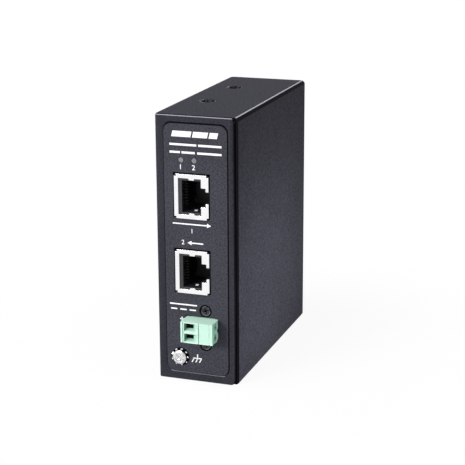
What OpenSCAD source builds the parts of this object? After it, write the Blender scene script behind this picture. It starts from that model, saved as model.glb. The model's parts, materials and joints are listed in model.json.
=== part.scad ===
// PoE injector for a DIN rail: a folded sheet-steel case with two shielded
// RJ45 jacks, a pluggable two-pole screw terminal and a chassis ground screw.
// Every module is one separate piece. Lengths are in millimetres.
// +X is the case's right side, +Y runs from the front panel to the rail, +Z is up.

/* [Case] */
// Width of the case
case_w = 30; // [29.5:0.5:32]
// Height of the case
case_h = 96; // [95:0.5:100]
// Depth of the case, front panel to back panel
case_d = 80; // [79:0.5:90]
// Thickness of the folded steel sheet
sheet_t = 1.0; // [0.8:0.1:1.0]
// Outer radius of a sheet bend
bend_r = 1.4; // [1.1:0.1:1.5]
// How far the cover starts behind the front face
cover_setback = 1.5; // [1.5:0.1:2.5]
// Distance of the two cover screws from the front face
cover_screw_y = [28.2, 57.3];
// Sideways place of the cover screws
cover_screw_x = -5.7; // [-7:0.1:-5]

/* [Front panel] */
// Width of the shallow recess that takes the label
recess_w = 23.8; // [22.5:0.1:24]
// Depth of that recess
recess_d = 0.35; // [0.2:0.05:0.4]
// Corner radius of that recess
recess_r = 3; // [2:0.5:4]
// Height of the upper jack's centre
upper_jack_z = 67.7; // [67:0.1:69]
// Distance between the two jack centres
jack_pitch = 27.1; // [26:0.1:28]
// Height of the two indicator lights
light_z = 80.5; // [80:0.1:82]
// Distance between the two indicator lights
light_pitch = 4.8; // [4.5:0.1:5.2]
// Sideways place of the ground screw
ground_x = -6.6; // [-7:0.1:-6]
// Height of the ground screw
ground_z = 8.8; // [8.5:0.1:9.5]

/* [RJ45 jacks] */
// Width of a jack, across its eight contacts
jack_w = 15.8; // [15.4:0.1:16.2]
// Height of a jack above the circuit board
jack_h = 12.65; // [12.4:0.05:13]
// Depth of a jack
jack_d = 21; // [18:0.5:22]
// Width of the opening for the plug
port_w = 12.2; // [11.9:0.1:12.4]

/* [Terminal] */
// Distance between the two poles
pole_pitch = 3.81; // [3.81:0.01:3.85]
// Width of the plug across the poles' wire entries and screws
plug_w = 11.8; // [11.6:0.1:12]
// How far the plug stands out of the front face
plug_out = 6.3; // [6:0.1:7]
// How far the plug reaches into its header
plug_in = 7.8; // [7:0.1:8.5]
// Height of the terminal's centre
terminal_z = 20.4; // [20:0.1:21]
// Distance between the two screws that hold the header
header_screw_pitch = 12.6; // [12.4:0.1:13]

/* [Rail clip] */
// Width of the rail that the clip takes
rail_w = 35; // [35:0.1:35.3]
// Height of the rail's centre line above the base
rail_z = 50; // [49:0.5:52]
// Width of the clip
clip_w = 22; // [20:0.5:24]
// Downward travel of the sprung latch
latch_travel = 4; // [3:0.5:4]

/* [Hidden] */
$fn = 48;

// Clearances
seam = 0.2;
press_gap = 0.02;
run_gap = 0.05;
eps = 0.05;

// Case planes, measured in the case frame: y = 0 is the front face
left_x = -case_w / 2;
right_x = case_w / 2;
chassis_right = right_x - sheet_t - seam;
wall_low = sheet_t + seam;
wall_high = case_h - sheet_t - seam;
inner_r = bend_r - sheet_t;
panel_right = chassis_right - 0.4;
panel_corner_r = 0.8;
recess_low = 3;
recess_high = case_h - 2.25;
flange_len = 8;
tab_reach = 13.5;
tab_y = [10, case_d - 10];

// Circuit board
board_t = 1.6;
board_x = -8;
board_y = [1.8, case_d - 4];
board_z = [4, case_h - 4];
standoff_y = [23.5, case_d - 9];
standoff_z = [8.5, case_h - 8.5];

// Jacks
jack_front = -0.2;
jack_top = board_x + jack_h;
shield_t = 0.3;
port_low = 1.5;
port_h = 8.4;
latch_wide = [1.7, 6.7];
latch_narrow_w = 4.2;
contact_pitch = 1.02;
port_depth = 13.5;

// Indicator lights
light_x = -5.4;
light_r = 0.9;

// Terminal
plug_left = -4;
plug_right = plug_left + plug_w;
plug_body_right = plug_right - 1.1;
plug_h = 2 * pole_pitch;
pole_z = [terminal_z + pole_pitch / 2, terminal_z - pole_pitch / 2];
clamp_y = -2.5;
cage_half = 1.5;
pin_x = 0.4;
header_screw_x = 3;
header_back = 10.5;
cavity_h = 2.9;
screw_head_x = [6.2, 7.3];

// Fasteners, radii
m3_shank_r = 1.45;
m3_head_r = 2.8;
header_head_r = 1.75;
header_spot_r = 2.3;
screw_rim = 0.1;
screw_sink = 0.1;
nut_bore_r = 1.5;
nut_shank_r = 2.1;
nut_body_r = 2.75;
ground_spot_r = 3.3;

// Rail clip layers, outwards from the back panel
clip_floor = 0.8;
clip_slot = 1.2;
clip_lip = 1.2;
clip_base = clip_floor + clip_slot + clip_lip;
rail_gap = 1.3;
hook_t = 2.2;
clip_depth = clip_base + rail_gap + hook_t;
rail_top = rail_z + rail_w / 2;
rail_bottom = rail_z - rail_w / 2;
clip_bottom = rail_bottom - 20.5;
clip_top = rail_top + 6.5;
peg_z = [rail_bottom - 12.4, rail_bottom - 10.7];
spring_short = 4.7;
latch_window = [peg_z[0] - 0.1, peg_z[1] + spring_short + latch_travel];
bracket_screw_x = 7.5;
bracket_screw_z = [rail_z - 9.5, rail_z + 10];

// The origin is the middle of the base of the whole object's box
front_y = -(case_d + clip_depth - plug_out) / 2;

module in_case() {
    translate([0, front_y, 0]) children();
}

// Box between two corners
module box(low, high) {
    translate(low) cube(high - low);
}

// Extrusions of a flat outline along each axis
module along_y(from, to) {
    translate([0, to, 0]) rotate([90, 0, 0]) linear_extrude(height = to - from) children();
}

module along_x(from, to) {
    translate([from, 0, 0]) rotate([90, 0, 90]) linear_extrude(height = to - from) children();
}

module rod_y(x, z, r, from, to) {
    translate([x, to, z]) rotate([90, 0, 0]) cylinder(r = r, h = to - from);
}

module rod_x(y, z, r, from, to) {
    translate([from, y, z]) rotate([0, 90, 0]) cylinder(r = r, h = to - from);
}

module rod_z(x, y, r, from, to) {
    translate([x, y, from]) cylinder(r = r, h = to - from);
}

// Rectangle between two corners with round corners
module round_rect(low, high, r) {
    translate([low[0] + r, low[1]]) square([high[0] - low[0] - 2 * r, high[1] - low[1]]);
    translate([low[0], low[1] + r]) square([high[0] - low[0], high[1] - low[1] - 2 * r]);
    for (x = [low[0] + r, high[0] - r], y = [low[1] + r, high[1] - r])
        translate([x, y]) circle(r = r);
}

// Folded sheet that runs round a rectangle
module folded_ring(low, high) {
    difference() {
        round_rect(low, high, bend_r);
        round_rect([low[0] + sheet_t, low[1] + sheet_t], [high[0] - sheet_t, high[1] - sheet_t], inner_r);
    }
}

// Cross-slot recess, cut down from z = 0
module cross_recess(r) {
    for (a = [0, 90])
        rotate([0, 0, a]) translate([-r, -0.2 * r, -0.7]) cube([2 * r, 0.4 * r, 1]);
    translate([0, 0, -1]) cylinder(r1 = 0.1, r2 = r * 0.5, h = 1.01);
}

// Countersunk screw with a chamfered rim, its head's face a little below z = 0,
// the surface that it is sunk in, and its shank pointing down
module flat_screw(head_r, shank_r, length) {
    cone_h = head_r - shank_r;
    translate([0, 0, -screw_sink]) difference() {
        union() {
            translate([0, 0, -screw_rim]) cylinder(r1 = head_r, r2 = head_r - screw_rim, h = screw_rim);
            translate([0, 0, -screw_rim - cone_h]) cylinder(r1 = shank_r, r2 = head_r, h = cone_h);
            translate([0, 0, -length]) cylinder(r = shank_r, h = length - screw_rim - cone_h + eps);
        }
        rotate([0, 0, 20]) cross_recess(head_r * 0.6);
    }
}

// Countersunk hole for that screw, whose head keeps run_gap from its cone
module flat_screw_hole(head_r, hole_r, length) {
    sink_r = head_r + screw_rim + screw_sink + run_gap;
    translate([0, 0, -sink_r]) cylinder(r1 = 0, r2 = sink_r + eps, h = sink_r + eps);
    translate([0, 0, -length]) cylinder(r = hole_r, h = length);
}

// Nut pressed into a sheet: the sheet's outer face is z = 0 and the nut points down
module press_nut(bore_r, body_h) {
    difference() {
        union() {
            translate([0, 0, -sheet_t - eps]) cylinder(r = nut_shank_r - press_gap, h = sheet_t);
            translate([0, 0, -sheet_t - press_gap - body_h]) cylinder(r = nut_body_r, h = body_h);
        }
        translate([0, 0, -sheet_t - body_h - 1]) cylinder(r = bore_r, h = sheet_t + body_h + 2);
        translate([0, 0, -0.5]) cylinder(r1 = bore_r - eps, r2 = bore_r + 0.5, h = 0.55);
    }
}

// ---------- enclosure ----------

// Outlines that pass through the front panel, label included (x, z)
module panel_openings(grow) {
    for (z = [upper_jack_z, upper_jack_z - jack_pitch])
        translate([board_x - 0.35 - grow, z - jack_w / 2 - 0.15 - grow])
            square([jack_h + 0.7 + 2 * grow, jack_w + 0.55 + 2 * grow]);
    for (i = [0, 1])
        translate([light_x + i * light_pitch, light_z]) circle(r = light_r + 0.1 + grow);
    translate([plug_left - 0.3 - grow, terminal_z - plug_h / 2 - 0.3 - grow])
        square([plug_body_right - plug_left + 0.6 + 2 * grow, plug_h + 0.6 + 2 * grow]);
}

module chassis() {
    color([0.23, 0.23, 0.25]) in_case() difference() {
        union() {
            // front, sides' ends and back, folded in plan
            difference() {
                translate([0, 0, wall_low]) linear_extrude(height = wall_high - wall_low)
                    folded_ring([left_x, 0], [chassis_right, case_d]);
                box([right_x - 6, flange_len, 0], [right_x + 1, case_d - flange_len, case_h]);
                box([left_x - 1, tab_y[0], 0], [left_x + 6, tab_y[1], case_h]);
            }
            // full-height part of the front panel, with rounded corners beside the bend
            intersection() {
                linear_extrude(height = case_h) intersection() {
                    folded_ring([left_x, 0], [chassis_right, case_d]);
                    translate([left_x - 1, -1]) square([case_w, bend_r + 1]);
                }
                along_y(-1, bend_r + 1) {
                    round_rect([0, seam], [panel_right, case_h - seam], panel_corner_r);
                    translate([left_x, seam]) square([case_w / 2 + 3, case_h - 2 * seam]);
                }
            }
            // left wall with its top and bottom tabs, folded in elevation
            along_y(tab_y[0], tab_y[1]) intersection() {
                folded_ring([left_x, wall_low], [right_x, wall_high]);
                translate([left_x - 1, 0]) square([tab_reach + 1, case_h]);
            }
        }
        // corners of the bend, cut off at an angle
        for (high = [0, 1]) translate([0, 0, high * case_h]) mirror([0, 0, high])
            along_y(-1, cover_setback + 0.5) polygon([
                [panel_right, wall_low - 1], [chassis_right + 1, wall_low - 1],
                [chassis_right + 1, wall_low + 1.6], [panel_right, wall_low + 0.2]
            ]);
        along_y(-1, recess_d)
            round_rect([-recess_w / 2, recess_low], [recess_w / 2, recess_high], recess_r);
        along_y(-1, sheet_t + 1) panel_openings(0);
        for (side = [-1, 1])
            translate([header_screw_x, recess_d - 0.15, terminal_z + side * header_screw_pitch / 2])
                rotate([90, 0, 0]) flat_screw_hole(header_head_r, 1.35, 4);
        rod_y(ground_x, ground_z, nut_shank_r, -1, 3);
        for (y = cover_screw_y, z = [wall_low - 1, wall_high - 2])
            rod_z(cover_screw_x, y, nut_shank_r, z, z + 3);
        for (y = standoff_y, z = standoff_z)
            rod_x(y, z, nut_shank_r, left_x - 1, left_x + 3);
        for (side = [-1, 1], z = bracket_screw_z)
            rod_y(side * bracket_screw_x, z, nut_shank_r, case_d - 3, case_d + 1);
    }
}

module cover() {
    front_r = 0.4;
    back_r = 1.6;
    color([0.27, 0.27, 0.29]) in_case() difference() {
        along_y(cover_setback, case_d) difference() {
            union() {
                round_rect([0, 0], [right_x, case_h], bend_r);
                translate([left_x, 0]) square([case_w / 2 + 3, case_h]);
            }
            round_rect([0, sheet_t], [right_x - sheet_t, case_h - sheet_t], inner_r);
            translate([left_x - 1, sheet_t]) square([case_w / 2 + 3, case_h - 2 * sheet_t]);
        }
        // rounded free corners of the top and bottom panels
        translate([0, 0, -1]) linear_extrude(height = case_h + 2) {
            difference() {
                translate([left_x - 1, cover_setback - 1]) square(front_r + 1);
                translate([left_x + front_r, cover_setback + front_r]) circle(r = front_r);
            }
            difference() {
                translate([left_x - 1, case_d - back_r]) square(back_r + 1);
                translate([left_x + back_r, case_d - back_r]) circle(r = back_r);
            }
        }
        for (y = cover_screw_y) {
            translate([cover_screw_x, y, case_h]) flat_screw_hole(m3_head_r, 1.6, 3);
            translate([cover_screw_x, y, 0]) mirror([0, 0, 1]) flat_screw_hole(m3_head_r, 1.6, 3);
        }
    }
}

// Label that lies low and to the left in its recess
module front_label() {
    gap_left = 0.2;
    gap_right = 0.5;
    gap_low = 0.1;
    gap_high = 0.6;
    color([0.3, 0.3, 0.32]) in_case() difference() {
        along_y(eps, recess_d) difference() {
            round_rect([gap_left - recess_w / 2, recess_low + gap_low],
                       [recess_w / 2 - gap_right, recess_high - gap_high], recess_r - gap_left);
            panel_openings(0.1);
        }
        for (side = [-1, 1])
            rod_y(header_screw_x, terminal_z + side * header_screw_pitch / 2, header_spot_r, -1, 1);
        rod_y(ground_x, ground_z, ground_spot_r, -1, 1);
    }
}

module cover_screws() {
    color([0.1, 0.1, 0.11]) in_case() for (y = cover_screw_y) {
        translate([cover_screw_x, y, case_h]) flat_screw(m3_head_r, m3_shank_r, 5);
        translate([cover_screw_x, y, 0]) mirror([0, 0, 1]) flat_screw(m3_head_r, m3_shank_r, 5);
    }
}

module cover_nuts() {
    color("silver") in_case() for (y = cover_screw_y) {
        translate([cover_screw_x, y, wall_high]) press_nut(nut_bore_r, 1.6);
        translate([cover_screw_x, y, wall_low]) mirror([0, 0, 1]) press_nut(nut_bore_r, 1.6);
    }
}

// ---------- RJ45 jacks ----------

module jack_shield() {
    notch = 0.75;
    notch_end = jack_front + 3;
    latch_end = 6;
    mouth_x = board_x + port_low;
    mouth_half = port_w / 2 + 0.38;
    tab_x = board_x + 6.4;
    tab_in = 0.6;
    color([0.85, 0.85, 0.87]) difference() {
        box([board_x, jack_front, -jack_w / 2], [jack_top, jack_front + jack_d, jack_w / 2]);
        box([board_x - 1, jack_front + shield_t, shield_t - jack_w / 2],
            [jack_top - shield_t, jack_front + jack_d + 1, jack_w / 2 - shield_t]);
        along_y(jack_front - 1, jack_front + shield_t + 1) difference() {
            union() {
                translate([mouth_x, -mouth_half]) square([port_h, 2 * mouth_half]);
                translate([mouth_x, -latch_wide[1] / 2]) square([port_h + latch_wide[0], latch_wide[1]]);
            }
            for (side = [-1, 1]) polygon([
                [tab_x - 1.2, side * (mouth_half + 0.1)], [tab_x + 1.2, side * (mouth_half + 0.1)],
                [tab_x + 0.9, side * (mouth_half - tab_in)], [tab_x - 0.9, side * (mouth_half - tab_in)]
            ]);
        }
        // way for the plug's latch, and the open corners of the folded shield
        box([jack_top - 2, jack_front - 1, -latch_narrow_w / 2],
            [jack_top + 1, latch_end, latch_narrow_w / 2]);
        for (x = [board_x, jack_top], side = [-1, 1])
            box([x - notch, jack_front - 1, side * jack_w / 2 - notch],
                [x + notch, notch_end, side * jack_w / 2 + notch]);
    }
}

module jack_body() {
    lip = 1.3;
    color([0.06, 0.06, 0.07]) difference() {
        box([board_x + 0.05, jack_front + shield_t + 0.02, shield_t + 0.03 - jack_w / 2],
            [jack_top - shield_t - 0.03, jack_front + jack_d - 0.5, jack_w / 2 - shield_t - 0.03]);
        box([board_x + port_low + lip, 0, -port_w / 2 + 0.4],
            [board_x + port_low + port_h - 0.1, port_depth, port_w / 2 - 0.4]);
        box([board_x + port_low + lip, 0, -latch_wide[1] / 2 + 0.1],
            [board_x + port_low + port_h + latch_wide[0] - 0.1, port_depth - 2, latch_wide[1] / 2 - 0.1]);
        box([board_x + port_low + port_h, 0, -latch_narrow_w / 2 + 0.1],
            [jack_top + 1, 6, latch_narrow_w / 2 - 0.1]);
        // slots that hold the contacts
        for (i = [-3.5 : 3.5]) translate([0, 0, i * contact_pitch]) {
            box([board_x + 0.9, 1.2, -0.27], [board_x + port_low + 1.5, port_depth + 1.6, 0.27]);
            box([board_x - 1, port_depth + 1, -0.27], [board_x + port_low + 1.5, port_depth + 1.6, 0.27]);
        }
    }
}

module jack_contacts() {
    t = 0.3;
    color([0.85, 0.68, 0.25]) for (i = [-3.5 : 3.5])
        translate([0, 0, i * contact_pitch - 0.2]) linear_extrude(height = 0.4) {
            // base strip, sprung tongue with a raised bend, and leg into the board
            translate([board_x + 1.0, 1.6]) square([t, port_depth - 0.6]);
            polygon([
                [board_x + 1.0, 1.6], [board_x + 1.0 + t, 1.6],
                [board_x + 2.5, 4.05], [board_x + 3.5, 4.3], [board_x + 3.5, 9.2],
                [board_x + 3.5 - t, 9.2], [board_x + 3.5 - t, 4.6], [board_x + 2.3, 4.35]
            ]);
            translate([board_x - board_t, port_depth + 1.1]) square([board_t + 1.3, t]);
            translate([board_x + 1.0, port_depth + 0.9]) square([t, 0.5]);
        }
}

module upper_jack_shield() {
    in_case() translate([0, 0, upper_jack_z]) jack_shield();
}

module upper_jack_body() {
    in_case() translate([0, 0, upper_jack_z]) jack_body();
}

module upper_jack_contacts() {
    in_case() translate([0, 0, upper_jack_z]) jack_contacts();
}

module lower_jack_shield() {
    in_case() translate([0, 0, upper_jack_z - jack_pitch]) jack_shield();
}

module lower_jack_body() {
    in_case() translate([0, 0, upper_jack_z - jack_pitch]) jack_body();
}

module lower_jack_contacts() {
    in_case() translate([0, 0, upper_jack_z - jack_pitch]) jack_contacts();
}

// ---------- indicator lights ----------

led_h = 0.9;

module light_pipe() {
    color([0.75, 0.76, 0.76, 0.7]) in_case() {
        for (i = [0, 1]) {
            x = light_x + i * light_pitch;
            y = 8 + 4.6 * i;
            rod_y(x, light_z, light_r, 0.1, y + light_r);
            box([board_x + led_h + 0.3, y - light_r, light_z - light_r],
                [x, y + light_r, light_z + light_r]);
        }
        box([board_x + led_h + 0.5, 8, light_z - 0.6], [light_x, 12, light_z + 0.6]);
    }
}

module status_leds() {
    color([0.9, 0.92, 0.85]) in_case() for (i = [0, 1])
        box([board_x, 7.2 + 4.6 * i, light_z - 1.2], [board_x + led_h, 8.8 + 4.6 * i, light_z + 1.2]);
}

// ---------- supply terminal ----------

module terminal_header() {
    ear_h = header_screw_pitch + 5.2;
    color([0.08, 0.08, 0.09]) in_case() difference() {
        union() {
            box([board_x + 0.05, sheet_t + 0.1, terminal_z - plug_h / 2 - 0.9],
                [plug_body_right + 1.4, header_back, terminal_z + plug_h / 2 + 0.9]);
            box([header_screw_x - 2.7, sheet_t + 0.1, terminal_z - ear_h / 2],
                [header_screw_x + 2.7, 6, terminal_z + ear_h / 2]);
        }
        box([plug_left - 0.2, 0, terminal_z - plug_h / 2 - 0.2],
            [plug_body_right + 0.2, plug_in + 0.3, terminal_z + plug_h / 2 + 0.2]);
        for (side = [-1, 1])
            rod_y(header_screw_x, terminal_z + side * header_screw_pitch / 2, 1.75 + press_gap, 0, 7);
        for (z = pole_z)
            box([board_x - 1, header_back - 1.5, z - 0.55], [pin_x + 0.55, header_back + 1, z + 0.55]);
        for (z = pole_z)
            box([pin_x - 0.55, plug_in, z - 0.55], [pin_x + 0.55, header_back, z + 0.55]);
    }
}

module header_pins() {
    half = 0.5;
    color([0.8, 0.8, 0.78]) in_case() for (z = pole_z) {
        box([pin_x - half, 3, z - half], [pin_x + half, header_back - 0.4, z + half]);
        box([board_x - board_t - 0.6, header_back - 1.4, z - half],
            [pin_x + half, header_back - 0.4, z + half]);
    }
}

module header_screws() {
    color([0.1, 0.1, 0.11]) in_case() for (side = [-1, 1])
        translate([header_screw_x, recess_d - 0.15, terminal_z + side * header_screw_pitch / 2])
            rotate([90, 0, 0]) flat_screw(header_head_r, 1.2, 5.2);
}

module header_nuts() {
    color([0.8, 0.65, 0.3]) in_case() for (side = [-1, 1]) difference() {
        rod_y(header_screw_x, terminal_z + side * header_screw_pitch / 2, 1.75, 1.6, 5.9);
        rod_y(header_screw_x, terminal_z + side * header_screw_pitch / 2, 1.25, 0, 8);
    }
}

// Wire entry that narrows inwards
module wire_funnel(z) {
    mouth = [-2.7, 2.2];
    throat = [-2.6, 0.1];
    mouth_half = 1.53;
    throat_half = 0.85;
    depth = 2.2;
    intersection() {
        translate([0, 0, z - mouth_half]) linear_extrude(height = 2 * mouth_half) polygon([
            [mouth[0], -plug_out - eps], [mouth[1], -plug_out - eps],
            [throat[1], depth - plug_out], [throat[0], depth - plug_out]
        ]);
        along_x(mouth[0] - 1, mouth[1] + 1) polygon([
            [-plug_out - eps, z - mouth_half], [depth - plug_out, z - throat_half],
            [depth - plug_out, z + throat_half], [-plug_out - eps, z + mouth_half]
        ]);
    }
}

module plug_housing() {
    lobe_r = pole_pitch / 2;
    half = plug_h / 2;
    groove = 0.35;
    flange_back = -0.15;
    color([0.66, 0.9, 0.78]) in_case() difference() {
        union() {
            box([plug_left, -plug_out, terminal_z - half], [plug_body_right, 0.6, terminal_z + half]);
            box([plug_left, -plug_out, terminal_z - half], [plug_right, flange_back, terminal_z + half]);
            box([plug_left + 0.9, 0, terminal_z - half + 0.7],
                [plug_body_right, plug_in, terminal_z + half - 0.7]);
        }
        // back edge beside the screws, scalloped into two lobes
        difference() {
            box([plug_body_right, flange_back - lobe_r, terminal_z - half - 1],
                [plug_right + 1, 1, terminal_z + half - lobe_r]);
            for (z = pole_z)
                rod_x(flange_back - lobe_r, z, lobe_r, plug_body_right - 1, plug_right + 2);
        }
        // panels and grooves of the front face
        box([2.7, -plug_out - 1, terminal_z - half + 0.3],
            [plug_body_right - 0.2, 0.2 - plug_out, terminal_z + half - 0.3]);
        for (x = [plug_left + 0.7, 2.7 - groove / 2, plug_body_right - 0.2])
            box([x, -plug_out - 1, terminal_z - half - 1],
                [x + groove, groove - plug_out, terminal_z + half + 1]);
        for (z = pole_z) {
            wire_funnel(z);
            // cage pocket, screw hole and contact slot
            box([plug_left + 0.8, clamp_y - cage_half - 0.1, z - cavity_h / 2],
                [4.5, -0.8, z + cavity_h / 2]);
            rod_x(clamp_y, z, 1.55, 5.9, plug_right + 1);
            rod_x(clamp_y, z, 1.1, 4, 7);
            box([pin_x - 1.15, -1, z - 0.9], [pin_x + 1.15, plug_in + 1, z + 0.9]);
        }
    }
}

module plug_contacts() {
    t = 0.35;
    leaf_in = 0.5 + run_gap;
    color([0.82, 0.8, 0.72]) in_case() for (z = pole_z) {
        // strip under the clamp screw, and two leaves beside the header's pin
        box([pin_x + leaf_in, clamp_y - cage_half, z - 0.8], [pin_x + leaf_in + t, plug_in - 0.3, z + 0.8]);
        box([pin_x - leaf_in - t, 0.2, z - 0.8], [pin_x - leaf_in, plug_in - 0.3, z + 0.8]);
        box([pin_x - leaf_in - t, 0.2, z - 0.8], [pin_x + leaf_in + t, 0.2 + t, z + 0.8]);
    }
}

module clamp_screw(z) {
    tip_x = pin_x + 0.5 + run_gap + 0.35 + 0.1;
    color([0.78, 0.78, 0.76]) in_case() difference() {
        union() {
            rod_x(clamp_y, z, 1.45, screw_head_x[0], screw_head_x[1]);
            rod_x(clamp_y, z, 1.0, tip_x, screw_head_x[0] + eps);
        }
        box([screw_head_x[1] - 0.6, clamp_y - 2, z - 0.25], [screw_head_x[1] + 1, clamp_y + 2, z + 0.25]);
    }
}

module clamp_cage(z) {
    half_w = 1.35;
    cage_x = [-3.1, 2.7];
    y0 = clamp_y - cage_half;
    y1 = clamp_y + cage_half;
    color([0.75, 0.73, 0.7]) in_case() difference() {
        box([cage_x[0], y0, z - half_w], [cage_x[1], y1, z + half_w]);
        box([cage_x[0] + 0.5, y0 - 1, z - half_w + 0.35], [cage_x[1] - 0.9, y1 + 1, z + half_w - 0.35]);
        rod_x(clamp_y, z, 1.0 + run_gap, 0, 4);
    }
}

module clamp_screw_upper() {
    clamp_screw(pole_z[0]);
}

module clamp_screw_lower() {
    clamp_screw(pole_z[1]);
}

module clamp_cage_upper() {
    clamp_cage(pole_z[0]);
}

module clamp_cage_lower() {
    clamp_cage(pole_z[1]);
}

// ---------- chassis ground ----------

washer_t = 0.8;

module ground_screw() {
    head_h = 0.9;
    head_r = 2.55;
    edge = 0.4;
    color([0.8, 0.8, 0.8]) in_case() translate([ground_x, 0, ground_z]) rotate([90, 0, 0]) difference() {
        union() {
            translate([0, 0, washer_t]) cylinder(r = head_r, h = head_h - edge);
            translate([0, 0, washer_t + head_h - edge]) cylinder(r1 = head_r, r2 = head_r - edge, h = edge);
            translate([0, 0, -5.5]) cylinder(r = m3_shank_r, h = washer_t + 5.6);
        }
        translate([0, 0, washer_t + head_h]) rotate([0, 0, 35]) cross_recess(1.6);
    }
}

module ground_washer() {
    teeth = 9;
    ring_r = 2.0;
    tooth = [1.3, 0.75, 0.3];
    color([0.8, 0.8, 0.8]) in_case() translate([ground_x, -washer_t, ground_z]) rotate([-90, 0, 0]) {
        difference() {
            translate([0, 0, 0.2]) cylinder(r = ring_r, h = 0.4);
            translate([0, 0, -1]) cylinder(r = m3_shank_r + run_gap, h = 3);
        }
        for (i = [0 : teeth - 1])
            rotate([0, 0, i * 360 / teeth]) translate([ring_r + 0.55, 0, 0.4]) rotate([32, 0, 0])
                cube(tooth, center = true);
    }
}

module ground_nut() {
    color([0.75, 0.75, 0.72]) in_case() translate([ground_x, 0, ground_z]) rotate([90, 0, 0])
        press_nut(nut_bore_r, 2.4);
}

// ---------- circuit board and what it carries ----------

module circuit_board() {
    color([0.1, 0.35, 0.2]) in_case() difference() {
        box([board_x - board_t, board_y[0], board_z[0]], [board_x, board_y[1], board_z[1]]);
        // corner left free for the ground nut
        box([board_x - 3, 0, 0], [board_x + 1, 6, ground_z + 5]);
        for (y = standoff_y, z = standoff_z)
            rod_x(y, z, 1.6, board_x - 3, board_x + 1);
        for (jz = [upper_jack_z, upper_jack_z - jack_pitch], i = [-3.5 : 3.5])
            rod_x(port_depth + 1.25, jz + i * contact_pitch, 0.4, board_x - 3, board_x + 1);
        for (z = pole_z)
            rod_x(header_back - 0.9, z, 0.8, board_x - 3, board_x + 1);
    }
}

module standoffs() {
    length = board_x - board_t - (left_x + sheet_t);
    color([0.8, 0.65, 0.3]) in_case() for (y = standoff_y, z = standoff_z) difference() {
        union() {
            rod_x(y, z, nut_shank_r - press_gap, left_x + eps, left_x + sheet_t + eps);
            translate([left_x + sheet_t, y, z]) rotate([0, 90, 0]) cylinder(r = 2.9, h = length, $fn = 6);
        }
        rod_x(y, z, nut_bore_r, left_x + 0.6, board_x + 1);
    }
}

module board_screws() {
    color("silver") in_case() for (y = standoff_y, z = standoff_z)
        translate([board_x, y, z]) rotate([0, 90, 0]) difference() {
            union() {
                cylinder(r = 2.7, h = 1.8);
                translate([0, 0, -4.5]) cylinder(r = m3_shank_r, h = 4.6);
            }
            translate([0, 0, 1.8]) cross_recess(1.6);
        }
}

module insulating_sheet() {
    color([0.85, 0.8, 0.6]) in_case() difference() {
        box([left_x + sheet_t + 0.02, 12, 5], [left_x + sheet_t + 0.3, case_d - 5, case_h - 5]);
        for (y = standoff_y, z = standoff_z)
            rod_x(y, z, 3.4, left_x, left_x + 4);
    }
}

// Part with a row of legs on two sides, standing on the board
module legged_block(y, z, size, legs) {
    box([board_x + 0.3, y - size[1] / 2, z - size[2] / 2],
        [board_x + size[0], y + size[1] / 2, z + size[2] / 2]);
    pitch = size[2] / (legs + 0.5);
    for (side = [-1, 1], i = [0 : legs - 1])
        translate([board_x, y + side * (size[1] / 2 + 0.5), z + (i - (legs - 1) / 2) * pitch])
            translate([0, -0.7, -0.2]) cube([0.4, 1.4, 0.4]);
}

module ethernet_magnetics() {
    color([0.12, 0.12, 0.13]) in_case() for (z = [upper_jack_z, upper_jack_z - jack_pitch])
        legged_block(30, z, [6.2, 9.5, 15], 12);
}

module transformer_core() {
    color([0.25, 0.25, 0.26]) in_case() difference() {
        box([board_x + 1.2, 44, 63], [board_x + 16, 62, 83]);
        box([board_x, 47.5, 66], [board_x + 17, 58.5, 70]);
        box([board_x, 47.5, 76], [board_x + 17, 58.5, 80]);
        box([board_x, 43, 66], [board_x + 17, 47.6, 80]);
        box([board_x, 58.4, 66], [board_x + 17, 63, 80]);
    }
}

module transformer_windings() {
    color([0.85, 0.75, 0.3]) in_case() difference() {
        box([board_x + 0.1, 44.5, 66.1], [board_x + 15, 61.5, 79.9]);
        box([board_x - 1, 47.4, 69.9], [board_x + 17, 58.6, 76.1]);
    }
}

module power_inductor() {
    color([0.3, 0.3, 0.31]) in_case() {
        box([board_x + 0.1, 28, 80], [board_x + 8, 40, 90]);
        rod_x(34, 85, 3.6, board_x + 7.9, board_x + 8.5);
    }
}

module capacitors() {
    can_r = 5;
    can_h = 16;
    color([0.2, 0.22, 0.3]) in_case() for (place = [[46, 17], [58, 17], [70, 26]]) {
        rod_x(place[0], place[1], can_r, board_x + 0.2, board_x + can_h);
        for (side = [-1, 1])
            rod_x(place[0] + side * 2.5, place[1], 0.3, board_x, board_x + 0.3);
    }
}

module control_chips() {
    color([0.1, 0.1, 0.1]) in_case() {
        legged_block(42, 34, [1.6, 4, 6], 4);
        legged_block(42, 46, [1.6, 5, 5], 4);
        legged_block(64, 40, [1.6, 4, 6], 4);
    }
}

transistor_h = 2.3;
spreader = [[50, 42], [60, 58]];

module power_transistors() {
    color([0.1, 0.1, 0.1]) in_case() for (z = [45.5, 54.5])
        box([board_x + 0.05, 51.5, z - 3.2], [board_x + transistor_h, 58.5, z + 3.2]);
}

module heat_spreader() {
    foot_x = board_x + transistor_h + 0.02;
    color([0.75, 0.76, 0.78]) in_case() difference() {
        box([foot_x, spreader[0][0], spreader[0][1]], [right_x - 2.1, spreader[1][0], spreader[1][1]]);
        box([foot_x + 3, 49, 45], [right_x - 4.5, 61, 55]);
    }
}

module thermal_pad() {
    color([0.55, 0.6, 0.7]) in_case()
        box([right_x - 2.08, spreader[0][0], spreader[0][1]],
            [right_x - sheet_t - 0.02, spreader[1][0], spreader[1][1]]);
}

module input_fuse() {
    color([0.9, 0.9, 0.85]) in_case() box([board_x, 15, 29.5], [board_x + 2.6, 21, 32.1]);
}

module surge_suppressor() {
    color([0.15, 0.15, 0.15]) in_case() legged_block(17, 24, [2.6, 5, 6], 1);
}

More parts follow.
